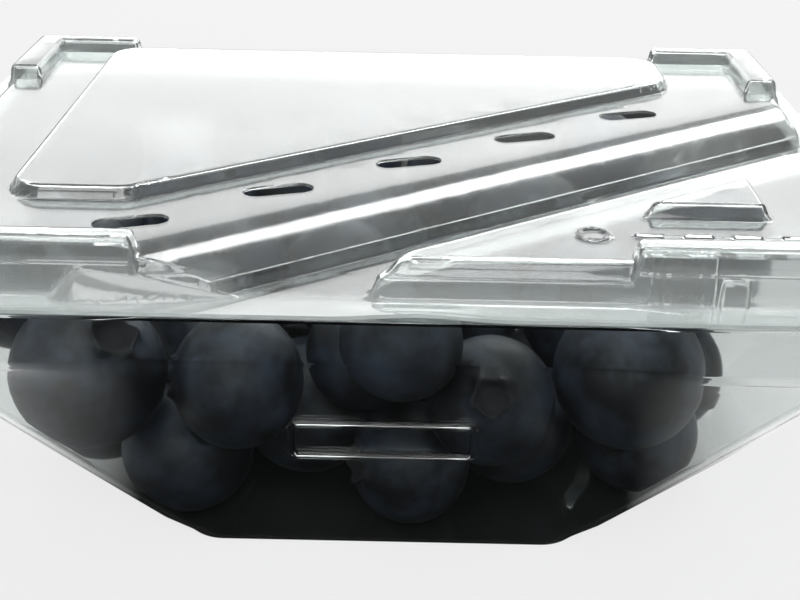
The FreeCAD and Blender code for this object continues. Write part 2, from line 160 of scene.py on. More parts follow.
def finished(bm: bmesh.types.BMesh, name: str, materials: Sequence[bpy.types.Material]) -> bpy.types.Object:
    """Turn a mesh in millimetres into an object in metres at the origin.

    Args:
        bm: The shape, freed here.
        name: The piece's name.
        materials: Its material slots.

    Returns:
        The object, shaded smooth.
    """
    bmesh.ops.scale(bm, vec=(MM, MM, MM), verts=bm.verts)
    for face in bm.faces:
        face.smooth = True
    mesh = bpy.data.meshes.new(name)
    bm.to_mesh(mesh)
    bm.free()
    piece = bpy.data.objects.new(name, mesh)
    bpy.context.scene.collection.objects.link(piece)
    for material in materials:
        mesh.materials.append(material)
    return piece


def true_normals(piece: bpy.types.Object) -> None:
    """Keep flat faces flat under smooth shading, with sharp punched edges."""
    piece.data.set_sharp_from_angle(angle=math.radians(SHARP_FOLD))
    weighted = piece.modifiers.new("normals", "WEIGHTED_NORMAL")
    weighted.keep_sharp = True
    weighted.weight = FLAT_FACE_WEIGHT
    settled(piece)


def settled(piece: bpy.types.Object) -> None:
    """Apply a piece's modifiers to its mesh."""
    graph = bpy.context.evaluated_depsgraph_get()
    mesh = bpy.data.meshes.new_from_object(piece.evaluated_get(graph))
    piece.modifiers.clear()
    piece.data = mesh


def combined(piece: bpy.types.Object, tool: bpy.types.Object, operation: str) -> None:
    """Cut a tool's shape out of a piece, or join it on, and remove the tool.

    Args:
        piece: The piece that stays.
        tool: The shape to use up.
        operation: DIFFERENCE or UNION.
    """
    boolean = piece.modifiers.new("tool", "BOOLEAN")
    boolean.operation = operation
    boolean.object = tool
    boolean.solver = "MANIFOLD"
    settled(piece)
    bpy.data.objects.remove(tool)


def along(profile: Profile, place: float) -> float:
    """Height of a section at one place, in straight runs between its points.

    Args:
        profile: Place and height of each point, in order of place.
        place: Where to read it.

    Returns:
        The height, held level past both ends.
    """
    if place <= profile[0][0]:
        return profile[0][1]
    for (low, z_low), (high, z_high) in zip(profile, profile[1:]):
        if place <= high:
            return z_low + (z_high - z_low) * (place - low) / (high - low)
    return profile[-1][1]


def soft_step(share: float) -> float:
    """Smooth rise from 0 to 1 as a share goes from 0 to 1."""
    held = min(max(share, 0.0), 1.0)
    return held * held * (3 - 2 * held)


def box_depth(x: float, y: float, box: Box, radius: float) -> float:
    """How far a spot lies inside a rounded rectangle.

    Args:
        x: Place along X.
        y: Place along Y.
        box: Lowest X and Y, then highest X and Y.
        radius: Radius of the corners.

    Returns:
        The depth, below zero outside.
    """
    over_x = abs(x - (box[0] + box[2]) / 2) - (box[2] - box[0]) / 2 + radius
    over_y = abs(y - (box[1] + box[3]) / 2) - (box[3] - box[1]) / 2 + radius
    return radius - math.hypot(max(over_x, 0.0), max(over_y, 0.0)) - min(max(over_x, over_y), 0.0)


def polygon_depth(x: float, y: float, corners: Sequence[Point], radius: float) -> float:
    """How far a spot lies inside a convex polygon with rounded corners.

    Args:
        x: Place along X.
        y: Place along Y.
        corners: Corners of the polygon, anticlockwise and already moved in by the radius.
        radius: Radius of the corners.

    Returns:
        The depth, below zero outside.
    """
    inner = math.inf
    nearest = math.inf
    for (ax, ay), (bx, by) in zip(corners, (*corners[1:], corners[0])):
        run_x = bx - ax
        run_y = by - ay
        length = math.hypot(run_x, run_y)
        inner = min(inner, (run_x * (y - ay) - run_y * (x - ax)) / length)
        share = min(max(((x - ax) * run_x + (y - ay) * run_y) / length ** 2, 0.0), 1.0)
        nearest = min(nearest, math.hypot(x - ax - run_x * share, y - ay - run_y * share))
    return radius + (inner if inner > 0 else -nearest)


def moved_in(corners: Sequence[Point], distance: float) -> list[Point]:
    """Corners of a convex polygon, anticlockwise, with each side moved in.

    Args:
        corners: The corners.
        distance: How far each side moves.

    Returns:
        The new corners.
    """
    result = []
    for before, here, after in zip((corners[-1], *corners[:-1]), corners, (*corners[1:], corners[0])):
        back = (Vector(here) - Vector(before)).normalized()
        forth = (Vector(after) - Vector(here)).normalized()
        lean = (back + forth).normalized()
        reach = distance / back.dot(lean)
        result.append((here[0] - lean.y * reach, here[1] + lean.x * reach))
    return result


def rounded_meeting(first: float, second: float, radius: float) -> float:
    """Depth inside two walls that meet in a rounded corner.

    Args:
        first: Depth from the first wall.
        second: Depth from the second wall.
        radius: Radius of the corner.

    Returns:
        The depth from the rounded wall.
    """
    if first < radius and second < radius:
        return radius - math.hypot(radius - first, radius - second)
    return min(first, second)


@dataclass(frozen=True)
class ClearSheet:
    """Clear thermoformed PET sheet: sharp reflections and the slow ripple of drawn sheet.

    The deep drawn walls outside the lid's deck are milky, which veils the fruit behind them.
    """

    name: str = "clear_pet_sheet"
    tint: str = "#F3F7F6"
    shade: str = "#D8DCDB"
    milky: float = 0.0
    milky_edge: Point = (-0.5, 1.6)
    deck_clearness: float = 0.97
    deck_mm: Point = (54.0, 40.0)
    roughness: float = 0.035
    refraction: float = 1.575
    ripple_mm: float = 9.0
    ripple_depth_mm: float = 0.035

    def material(self) -> bpy.types.Material:
        """Build the sheet's material."""
        material, tree, output = new_material(self.name)
        place = add_node(tree, "ShaderNodeTexCoord")
        ripple = add_node(
            tree, "ShaderNodeTexNoise",
            {"Vector": place.outputs["Object"], "Scale": 1 / (self.ripple_mm * MM), "Detail": 2.0},
        )
        bump = add_node(
            tree, "ShaderNodeBump",
            {"Height": ripple.outputs["Fac"], "Strength": 1.0, "Distance": self.ripple_depth_mm * MM},
        )
        sheet = add_node(
            tree, "ShaderNodeBsdfPrincipled",
            {
                "Base Color": linear(self.tint), "Roughness": self.roughness, "IOR": self.refraction,
                "Transmission Weight": 1.0, "Normal": bump.outputs["Normal"],
            },
        )
        if self.milky:
            tree.links.new(self.clearness(tree, place), sheet.inputs["Transmission Weight"])
        open_way = add_node(tree, "ShaderNodeBsdfTransparent", {"Color": linear(self.shade)})
        ray = add_node(tree, "ShaderNodeLightPath")
        mix = add_node(
            tree, "ShaderNodeMixShader",
            {0: ray.outputs["Is Shadow Ray"], 1: sheet.outputs["BSDF"], 2: open_way.outputs["BSDF"]},
        )
        tree.links.new(mix.outputs["Shader"], output.inputs["Surface"])
        return material

    def clearness(self, tree: bpy.types.NodeTree, place: bpy.types.Node) -> bpy.types.NodeSocket:
        """How clear the sheet is at each spot, which falls from the deck to the drawn walls round it.

        Args:
            tree: The material's node tree.
            place: The node that gives the object coordinates.

        Returns:
            The socket with the share of light let through.
        """
        axes = add_node(tree, "ShaderNodeSeparateXYZ", {0: place.outputs["Object"]})
        half_x, half_y = self.deck_mm
        along_x = calculated(tree, "ABSOLUTE", axes.outputs["X"])
        along_y = calculated(tree, "ABSOLUTE", axes.outputs["Y"])
        level_x = calculated(tree, "SUBTRACT", along_x, (half_x - half_y) * MM)
        outer = calculated(tree, "MAXIMUM", level_x, along_y)
        start, end = self.milky_edge
        clear = add_node(
            tree, "ShaderNodeMapRange",
            {
                "Value": outer, "From Min": (half_y + start) * MM, "From Max": (half_y + end) * MM,
                "To Min": self.deck_clearness, "To Max": 1 - self.milky,
            },
        )
        return clear.outputs["Result"]


@dataclass(frozen=True)
class FruitSkin:
    """Ripe berry skin: nearly black blue, under a pale wax bloom that is rubbed off in patches."""

    skin: str = "#06080E"
    bloom: str = "#3E4757"
    roughness: float = 0.5
    patch_mm: float = 6.0
    rub_mm: float = 1.4
    rub_share: float = 0.35
    bloom_range: Point = (0.56, 0.92)
    thickest_bloom: float = 0.8

    def material(self) -> bpy.types.Material:
        """Build the skin's material."""
        material, tree, output = new_material("waxy_berry_skin")
        place = add_node(tree, "ShaderNodeTexCoord")
        patches = add_node(
            tree, "ShaderNodeTexNoise",
            {"Vector": place.outputs["Object"], "Scale": 1 / (self.patch_mm * MM), "Detail": 3.0},
        )
        rubs = add_node(
            tree, "ShaderNodeTexNoise",
            {"Vector": place.outputs["Object"], "Scale": 1 / (self.rub_mm * MM), "Detail": 4.0},
        )
        share = calculated(tree, "MULTIPLY_ADD", rubs.outputs["Fac"], self.rub_share, patches.outputs["Fac"])
        start, end = self.bloom_range
        span = {"Value": share, "From Min": start, "From Max": end, "To Max": self.thickest_bloom}
        waxy = add_node(tree, "ShaderNodeMapRange", span)
        colours = {"Factor": waxy.outputs["Result"], 6: linear(self.skin), 7: linear(self.bloom)}
        colour = add_node(tree, "ShaderNodeMix", colours, data_type="RGBA")
        skin = add_node(
            tree, "ShaderNodeBsdfPrincipled",
            {"Base Color": colour.outputs[2], "Roughness": self.roughness, "IOR": 1.45},
        )
        tree.links.new(skin.outputs["BSDF"], output.inputs["Surface"])
        return material


@dataclass(frozen=True)
class DryCalyx:
    """Dry calyx of a berry: a dark papery star, quite matt."""

    colour: str = "#15161A"
    roughness: float = 0.8

    def material(self) -> bpy.types.Material:
        """Build the calyx's material."""
        material, tree, output = new_material("dry_calyx")
        looks = {"Base Color": linear(self.colour), "Roughness": self.roughness}
        calyx = add_node(tree, "ShaderNodeBsdfPrincipled", looks)
        tree.links.new(calyx.outputs["BSDF"], output.inputs["Surface"])
        return material


class PlanSheet:
    """A level sheet that is cut along lines in plan, so that a height given later bends it only there."""

    snap = 0.004
    neighbour = 6

    def __init__(self, half_x: float, half_y: float, corner: float, corner_steps: int) -> None:
        """Start from one rounded face.

        Args:
            half_x: Half its length.
            half_y: Half its depth.
            corner: Radius of its corners.
            corner_steps: Edges along each corner.
        """
        self.bm = bmesh.new()
        bmesh.ops.create_grid(self.bm, x_segments=1, y_segments=1, size=1)
        bmesh.ops.scale(self.bm, vec=(half_x, half_y, 1), verts=self.bm.verts)
        bmesh.ops.bevel(
            self.bm, geom=self.bm.verts[:], offset=corner, offset_type="OFFSET", segments=corner_steps,
            profile=0.5, affect="VERTICES", material=-1, clamp_overlap=False,
        )

    def cut(self, normal: Point, places: Sequence[float],
            inside: Callable[[float, float], bool] | None = None) -> None:
        """Cut the sheet along parallel lines.

        Args:
            normal: Direction across the lines.
            places: Distance of each line from the origin, along the normal.
            inside: Whether a face at a spot takes part; every face does without it.
        """
        faces = self.bm.faces[:]
        if inside is not None:
            faces = [face for face in faces if inside(*face.calc_center_median().xy)]
        geometry = list({*faces, *(edge for face in faces for edge in face.edges),
                         *(vert for face in faces for vert in face.verts)})
        direction = Vector((normal[0], normal[1], 0)).normalized()
        for place in places:
            result = bmesh.ops.bisect_plane(
                self.bm, geom=geometry, dist=self.snap, plane_co=direction * place, plane_no=direction
            )
            geometry = [item for item in result["geom"] if item.is_valid]

    def cut_box(self, box: Box, places_x: Sequence[float], places_y: Sequence[float]) -> None:
        """Cut a rectangle out of the plan, and then lines inside it alone.

        Args:
            box: Lowest X and Y, then highest X and Y.
            places_x: Lines across X inside it.
            places_y: Lines across Y inside it.
        """
        def near(x: float, y: float) -> bool:
            reach = self.neighbour
            return box[0] - reach < x < box[2] + reach and box[1] - reach < y < box[3] + reach

        def inside(x: float, y: float) -> bool:
            return box[0] < x < box[2] and box[1] < y < box[3]

        self.cut((1, 0), (box[0], box[2]), near)
        self.cut((0, 1), (box[1], box[3]), near)
        self.cut((1, 0), [p for p in places_x if box[0] < p < box[2]], inside)
        self.cut((0, 1), [p for p in places_y if box[1] < p < box[3]], inside)


@dataclass
class Lid:
    """Upper half of the pack: flange, decks, diagonal channel, vents, lugs, marks and hinge lip."""

    sheet: ClearSheet
    thickness: float = 0.4
    lattice: float = 7.0
    fine: float = 0.4
    flange: Point = (59.5, 45.5)
    flange_corner: float = 9.0
    flange_top: float = 37.5
    walls: Point = (55.5, 41.5)
    wall_corner: float = 6.0
    deck: float = 4.0
    wall_profile: Profile = (
        (-0.45, 0.0), (-0.1, 0.1), (0.08, 0.45), (0.32, 1.75), (0.44, 2.1), (0.64, 2.28), (0.86, 2.42),
        (1.2, 3.1), (1.45, 3.6), (1.75, 3.9), (2.3, 4.0),
    )
    diagonal: float = 35.5
    vent_middle: Point = (2.3, -10.5)
    vent_pitch: float = 18.1
    vent_count: int = 5
    vent_size: Point = (8.2, 3.2)
    vent_angle: float = 18.0
    punch_reach: float = 1.5
    shoulder: Point = (2.4, 13.4)
    shoulder_drop: float = 2.4
    channel_end: float = 21.0
    channel_rise: float = 1.7
    tip_radius: float = 4.5
    plateau_profile: Profile = (
        (-0.35, 0.0), (-0.08, 0.1), (0.12, 0.38), (0.48, 1.12), (0.66, 1.36), (1.0, 1.5),
    )
    plateau_box: Box = (-42.5, -25.7, 39.5, 36.2)
    plateau_setback: float = 5.6
    plateau_corner: float = 4.5
    lug_profile: Profile = (
        (-0.4, 0.0), (-0.08, 0.12), (0.06, 0.6), (0.2, 2.85), (0.32, 3.18), (0.52, 3.36), (0.66, 3.8),
        (0.86, 5.1), (1.06, 5.65), (1.45, 5.9),
    )
    lug_corner: float = 1.5
    lug_reach: Point = (55.5, 41.55)
    lug_width: Point = (6.0, 4.8)
    lug_legs: dict[int, float] = field(default_factory=lambda: {-1: 31.0, 1: 17.0})
    lug_side_leg: float = 20.0
    nub_profile: Profile = ((-0.35, 0.0), (-0.08, 0.1), (0.12, 0.4), (0.48, 1.2), (0.66, 1.46), (1.0, 1.6))
    nub_corner: float = 0.9
    nub_place: Point = (41.8, -27.6)
    nub_length: float = 15.4
    grip_span: Point = (26.6, 33.4)
    grip_low_y: float = -40.4
    grip_pitch: float = 1.25
    rib_step: float = 0.31
    grip_proud: float = 0.16
    button_box: Box = (33.5, -42.0, 36.7, -40.0)
    button_corner: float = 0.5
    button_profile: Profile = ((-0.12, 0.0), (0.0, 0.1), (0.1, 0.7), (0.2, 2.3), (0.32, 2.75), (0.6, 2.95))
    scoop_span: Point = (-33.8, -14.6)
    scoop_width: float = 2.1
    scoop_rise: float = 3.5
    ring_place: Point = (21.8, -32.7)
    ring_radius: float = 1.6
    ring_width: float = 0.6
    bar_row: Point = (26.0, 5.2)
    bar_size: Point = (3.4, 1.0)
    bar_count: int = 4
    bar_corner: float = 0.3
    mark_rise: float = 0.3
    mark_slope: float = 0.25
    lift_span: Point = (-6.0, 13.0)
    lift_rise: float = 0.45

    def __post_init__(self) -> None:
        """Work out the outlines that the height reads at every spot."""
        angle = math.radians(self.diagonal)
        self.run = Vector((math.cos(angle), math.sin(angle)))
        self.side = Vector((self.run.y, -self.run.x))
        self.side_offset = self.side.dot(Vector(self.vent_middle))
        low_x, low_y, high_x, high_y = self.plateau_box
        edge = Vector(self.vent_middle) - self.side * self.plateau_setback
        slope = self.run.y / self.run.x
        front = edge.x + (low_y - edge.y) / slope
        right = edge.y + (high_x - edge.x) * slope
        corners = ((low_x, low_y), (front, low_y), (high_x, right), (high_x, high_y), (low_x, high_y))
        self.plateau_inner = moved_in(corners, self.plateau_corner)
        x, y = self.nub_place
        self.nub_corners = ((x - self.nub_length, y), (x, y), (x, y + self.nub_length * slope))
        self.nub_inner = moved_in(self.nub_corners, self.nub_corner)
        self.lug_boxes = []
        reach_x, reach_y = self.lug_reach
        for side_x in (-1, 1):
            for side_y, leg in self.lug_legs.items():
                spans = ((leg, self.lug_width[1]), (self.lug_width[0], self.lug_side_leg))
                for wide, deep in spans:
                    xs = sorted((side_x * reach_x, side_x * (reach_x - wide)))
                    ys = sorted((side_y * reach_y, side_y * (reach_y - deep)))
                    self.lug_boxes.append((xs[0], ys[0], xs[1], ys[1]))
        self.shoulder_profile = self.shoulder_section()

    def shoulder_section(self) -> list[Point]:
        """Section of the rear deck's soft shoulder and its step down into the channel."""
        start, end = self.shoulder
        points = [(start - 1.0, self.deck)]
        steps = 20
        for i in range(steps + 1):
            share = i / steps
            points.append((start + (end - start) * share, self.deck - self.shoulder_drop * share ** 2.4))
        last = points[-1][1]
        points += [(end + 0.18, last - 0.12), (end + 0.3, last - 0.4), (end + 0.45, 0.35), (end + 0.6, 0.1)]
        points.append((end + 0.95, 0.0))
        return points

    def across(self, x: float, y: float) -> float:
        """Distance of a spot from the row of vents, towards the front right."""
        return self.side.x * x + self.side.y * y - self.side_offset

    def height(self, x: float, y: float) -> float:
        """Height of the lid's upper face over the flange.

        Args:
            x: Place along X.
            y: Place along Y.

        Returns:
            The height in millimetres.
        """
        half_x, half_y = self.walls
        wall = box_depth(x, y, (-half_x, -half_y, half_x, half_y), self.wall_corner)
        across = self.across(x, y)
        rear = min(along(self.wall_profile, wall), along(self.shoulder_profile, across))
        scale = self.wall_profile[-1][0] / self.channel_rise
        tip = rounded_meeting(wall, (across - self.channel_end) * scale, self.tip_radius)
        result = max(rear, along(self.wall_profile, tip))
        plateau = polygon_depth(x, y, self.plateau_inner, self.plateau_corner)
        if plateau > self.plateau_profile[0][0]:
            result = max(result, self.deck + along(self.plateau_profile, plateau))
        nub = polygon_depth(x, y, self.nub_inner, self.nub_corner)
        if nub > self.nub_profile[0][0]:
            result = max(result, self.deck + along(self.nub_profile, nub))
        lug = max(box_depth(x, y, box, self.lug_corner) for box in self.lug_boxes)
        if y < self.grip_low_y:
            lug += self.grip_ridge(x)
        if lug > self.lug_profile[0][0]:
            result = max(result, along(self.lug_profile, lug))
        button = box_depth(x, y, self.button_box, self.button_corner)
        result = max(result, along(self.button_profile, button))
        result = max(result, self.scoop_height(x, y))
        return result + self.mark_height(x, y) + self.lift_height(x, y)

    def grip_ridge(self, x: float) -> float:
        """How far the finger grip's ribs push the front wall out at a place along it."""
        share = (x - self.grip_span[0]) / (self.grip_span[1] - self.grip_span[0])
        if not 0 < share < 1:
            return 0.0
        wobble = 0.35 * math.sin(5.3 * x)
        return self.grip_proud * (0.5 - 0.5 * math.cos(math.tau * (x + wobble) / self.grip_pitch))

    def scoop_height(self, x: float, y: float) -> float:
        """Height of the leaf-shaped opening scoop on the front flange at the left."""
        start, end = self.scoop_span
        share = (x - start) / (end - start)
        if not 0 < share < 1 or y > -self.walls[1] + 0.4:
            return 0.0
        width = self.scoop_width * math.sin(math.pi * share ** 0.5) ** 0.8
        rise = self.scoop_rise * min(1.0, share / 0.14) * (1 - share) ** 0.8
        out = (-self.walls[1] + 0.4 - y) / (width + 0.4)
        return rise * (1 - out) ** 0.6 if out < 1 else 0.0

    def mark_height(self, x: float, y: float) -> float:
        """Height of the plain ring and bars raised on the front deck."""
        ring_x, ring_y = self.ring_place
        ring = self.ring_width / 2 - abs(math.hypot(x - ring_x, y - ring_y) - self.ring_radius)
        length, width = self.bar_size
        low_y = ring_y - width / 2
        bar = max(box_depth(x, y, (low, low_y, low + length, low_y + width), self.bar_corner)
                  for low in self.bar_starts())
        return self.mark_rise * soft_step(max(ring, bar) / self.mark_slope)

    def bar_starts(self) -> list[float]:
        """Where each raised bar begins along X."""
        return [self.bar_row[0] + self.bar_row[1] * i for i in range(self.bar_count)]

    def lift_height(self, x: float, y: float) -> float:
        """Slight lift of the flange's front edge, where a finger parts the two halves."""
        share = (x - self.lift_span[0]) / (self.lift_span[1] - self.lift_span[0])
        if not 0 < share < 1:
            return 0.0
        return self.lift_rise * math.sin(math.pi * share) ** 2 * soft_step((-y - self.walls[1] - 0.8) / 2.2)

    def cut_plan(self) -> bmesh.types.BMesh:
        """Make the level sheet, cut wherever its height will bend.

        Returns:
            The sheet, still level.
        """
        plan = PlanSheet(*self.flange, self.flange_corner, 10)
        plan.cut((1, 0), (-HINGE_HALF_LENGTH, HINGE_HALF_LENGTH))
        lattice = [step * self.lattice for step in range(-8, 9)]
        plan.cut((1, 0), lattice)
        plan.cut((0, 1), lattice)
        half_x, half_y = self.walls
        depths = [depth for depth, _ in self.wall_profile]
        for side in (-1, 1):
            xs = [side * (half_x - depth) for depth in depths]
            ys = [side * (half_y - depth) for depth in depths]
            edge_x = sorted((side * (half_x + 0.7), side * (half_x - 2.6)))
            edge_y = sorted((side * (half_y + 0.7), side * (half_y - 2.6)))
            plan.cut_box((edge_x[0], -60, edge_x[1], 60), xs, [])
            plan.cut_box((-60, edge_y[0], 60, edge_y[1]), [], ys)
        reach = self.wall_corner + self.fine
        for side_x in (-1, 1):
            for side_y in (-1, 1):
                xs = sorted((side_x * (half_x + self.fine), side_x * (half_x - reach)))
                ys = sorted((side_y * (half_y + self.fine), side_y * (half_y - reach)))
                self.cut_fine(plan, (xs[0], ys[0], xs[1], ys[1]), self.fine)
        self.cut_diagonals(plan)
        self.cut_plateau(plan)
        self.cut_lugs(plan)
        self.cut_nub(plan)
        self.cut_tip(plan)
        self.cut_details(plan)
        return plan.bm

    def cut_diagonals(self, plan: PlanSheet) -> None:
        """Cut the shoulder and both sides of the channel, along the diagonal."""
        offset = self.side_offset
        scale = self.channel_rise / self.wall_profile[-1][0]
        places = [place for place, _ in self.shoulder_profile]
        places += [self.channel_end + depth * scale for depth, _ in self.wall_profile]
        plan.cut((self.side.x, self.side.y), [place + offset for place in places])

    def cut_plateau(self, plan: PlanSheet) -> None:
        """Cut the label panel's edges and its rounded corners."""
        depths = [depth for depth, _ in self.plateau_profile]
        low_x, low_y, high_x, high_y = self.plateau_box
        out = 0.6
        into = 1.3
        left = [low_x + d for d in depths]
        right = [high_x - d for d in depths]
        front = [low_y + d for d in depths]
        rear = [high_y - d for d in depths]
        plan.cut_box((low_x - out, low_y - out, low_x + into, high_y + out), left, [])
        plan.cut_box((high_x - into, 0, high_x + out, high_y + out), right, [])
        plan.cut_box((low_x - out, low_y - out, high_x, low_y + into), [], front)
        plan.cut_box((low_x - out, high_y - into, high_x + out, high_y + out), [], rear)
        start = self.side_offset - self.plateau_setback
        plan.cut((self.side.x, self.side.y), [start - d for d in depths],
                 lambda x, y: -12.0 < self.across(x, y) < 1.0 and low_y - 5 < y and x < high_x + 5)
        reach = self.plateau_corner + 0.8
        for x, y in self.plateau_inner:
            self.cut_fine(plan, (x - reach, y - reach, x + reach, y + reach), self.fine)

    def cut_fine(self, plan: PlanSheet, box: Box, step: float) -> None:
        """Cut a fine grid inside a rectangle.

        Args:
            plan: The sheet to cut.
            box: Lowest X and Y, then highest X and Y.
            step: Size of the grid.
        """
        xs, ys = (
            [low + step * i for i in range(1, int((high - low) / step))]
            for low, high in ((box[0], box[2]), (box[1], box[3]))
        )
        plan.cut_box(box, xs, ys)

    def cut_lugs(self, plan: PlanSheet) -> None:
        """Cut the stacking lugs' edges and corners."""
        depths = [depth for depth, _ in self.lug_profile]
        for low_x, low_y, high_x, high_y in self.lug_boxes:
            xs = [low_x + d for d in depths] + [high_x - d for d in depths]
            ys = [low_y + d for d in depths] + [high_y - d for d in depths]
            plan.cut_box((low_x - 0.5, low_y - 0.5, high_x + 0.5, high_y + 0.5), sorted(xs), sorted(ys))

    def cut_nub(self, plan: PlanSheet) -> None:
        """Cut the three-cornered stop's edges."""
        depths = [depth for depth, _ in self.nub_profile]
        x, y = self.nub_place
        top = self.nub_corners[2][1]
        box = (x - self.nub_length - 1, y - 0.6, x + 0.6, top + 1)
        plan.cut_box(box, [x - d for d in depths], [y + d for d in depths])
        start = self.across(*self.nub_corners[0]) + self.side_offset
        plan.cut((self.side.x, self.side.y), [start + d for d in depths],
                 lambda px, py: box[0] < px < box[2] and box[1] < py < box[3])

    def cut_tip(self, plan: PlanSheet) -> None:
        """Cut the rounded tip of the front deck."""
        self.cut_fine(plan, (-9.0, -42.0, 6.0, -36.0), self.fine)

    def cut_details(self, plan: PlanSheet) -> None:
        """Cut the grip, the button, the scoop, the marks and the flange's lift."""
        low, high = self.grip_span
        edge = 0.2
        ribs = [low + self.rib_step * i for i in range(int((high - low) / self.rib_step) + 1)]
        plan.cut_box((low - edge, -42.4, high + edge, self.grip_low_y), ribs, [])
        depths = [depth for depth, _ in self.button_profile]
        low_x, low_y, high_x, _ = self.button_box
        xs = [low_x + d for d in depths] + [high_x - d for d in depths]
        ys = [low_y + d for d in depths]
        plan.cut_box((low_x - edge, low_y - edge, high_x + edge, low_y + 1.2), xs, ys)
        start, end = self.scoop_span
        self.cut_fine(plan, (start - edge, -43.9, end + edge, -40.9), 0.45)
        x, y = self.ring_place
        reach = self.ring_radius + self.ring_width / 2 + edge
        self.cut_fine(plan, (x - reach, y - reach, x + reach, y + reach), self.mark_slope)
        length, width = self.bar_size
        steps = (0.0, 0.12, self.mark_slope)
        xs = [low + d for low in self.bar_starts() for d in steps]
        xs += [low + length - d for low in self.bar_starts() for d in steps]
        ys = [y - width / 2 + d for d in steps] + [y + width / 2 - d for d in steps]
        plan.cut_box((min(xs) - 0.4, y - 0.9, max(xs) + 0.4, y + 0.9), sorted(xs), sorted(ys))
        low, high = self.lift_span
        plan.cut_box((low, -46.0, high, -self.walls[1] - 0.5), [low + i for i in range(1, int(high - low))],
                     [-45.2, -44.6, -44.0, -43.4, -42.8])

    def build(self) -> bpy.types.Object:
        """Build and dress the lid.

        Returns:
            The lid's piece.
        """
        bm = self.cut_plan()
        for vert in bm.verts:
            vert.co.z = self.flange_top + self.height(vert.co.x, vert.co.y)
        add_hinge_lip(bm, Half.LID)
        bmesh.ops.remove_doubles(bm, verts=bm.verts, dist=SLIVER)
        bmesh.ops.dissolve_degenerate(bm, dist=SLIVER / 2, edges=bm.edges)
        bmesh.ops.recalc_face_normals(bm, faces=bm.faces)
        up = sum(face.normal.z * face.calc_area() for face in bm.faces)
        if up < 0:
            bmesh.ops.reverse_faces(bm, faces=bm.faces)
        piece = finished(bm, "lid_sheet", [self.sheet.material()])
        solid = piece.modifiers.new("sheet", "SOLIDIFY")
        solid.thickness = self.thickness * MM
        solid.offset = -1
        settled(piece)
        combined(piece, self.vent_tool(), "DIFFERENCE")
        true_normals(piece)
        return piece

    def vent_tool(self) -> bpy.types.Object:
        """Make the punch that cuts all the vents."""
        bm = bmesh.new()
        for index in range(self.vent_count):
            step = index - (self.vent_count - 1) / 2
            place = Vector(self.vent_middle) + self.run * (self.vent_pitch * step)
            turn = Matrix.Translation((place.x, place.y, self.flange_top + self.deck))
            turn @= Matrix.Rotation(math.radians(self.vent_angle), 4, "Z")
            made = bmesh.ops.create_grid(bm, x_segments=1, y_segments=1, size=0.5)["verts"]
            bmesh.ops.scale(bm, vec=(*self.vent_size, 1), verts=made)
            rounded = bmesh.ops.bevel(bm, geom=made, offset=self.vent_size[1] * 0.499, offset_type="OFFSET",
                                      segments=10, profile=0.5, affect="VERTICES", material=-1)
            verts = list({vert for face in rounded["faces"] for vert in face.verts} | set(rounded["verts"]))
            bmesh.ops.translate(bm, vec=(0, 0, -self.punch_reach), verts=verts)
            bmesh.ops.transform(bm, matrix=turn, verts=verts)
        raised = bmesh.ops.extrude_face_region(bm, geom=bm.faces[:])["geom"]
        top = [item for item in raised if isinstance(item, bmesh.types.BMVert)]
        bmesh.ops.translate(bm, vec=(0, 0, 2 * self.punch_reach), verts=top)
        bmesh.ops.recalc_face_normals(bm, faces=bm.faces)
        return finished(bm, "vent_punch", [])


def add_hinge_lip(bm: bmesh.types.BMesh, half: Half) -> None:
    """Curl the rear edge of a flange into its half of the hinge bead.

    Args:
        bm: The sheet, with its rear edge at the flange's depth.
        half: Which half of the pack it belongs to.
    """
    rear = max(vert.co.y for vert in bm.verts) - PLACE_SLACK
    side = HINGE_HALF_LENGTH + PLACE_SLACK
    edges = [
        edge for edge in bm.edges
        if edge.is_boundary and all(vert.co.y > rear and abs(vert.co.x) < side for vert in edge.verts)
    ]
    for angle in HINGE_ANGLES:
        made = bmesh.ops.extrude_edge_only(bm, edges=edges)["geom"]
        verts = [item for item in made if isinstance(item, bmesh.types.BMVert)]
        turn = math.radians(angle)
        for vert in verts:
            vert.co.y = HINGE_CENTRE[0] + HINGE_RADIUS * math.cos(turn)
            vert.co.z = HINGE_CENTRE[1] + HINGE_RADIUS * math.sin(turn) * half.value
        fresh = set(verts)
        edges = [item for item in made if isinstance(item, bmesh.types.BMEdge) and set(item.verts) <= fresh]


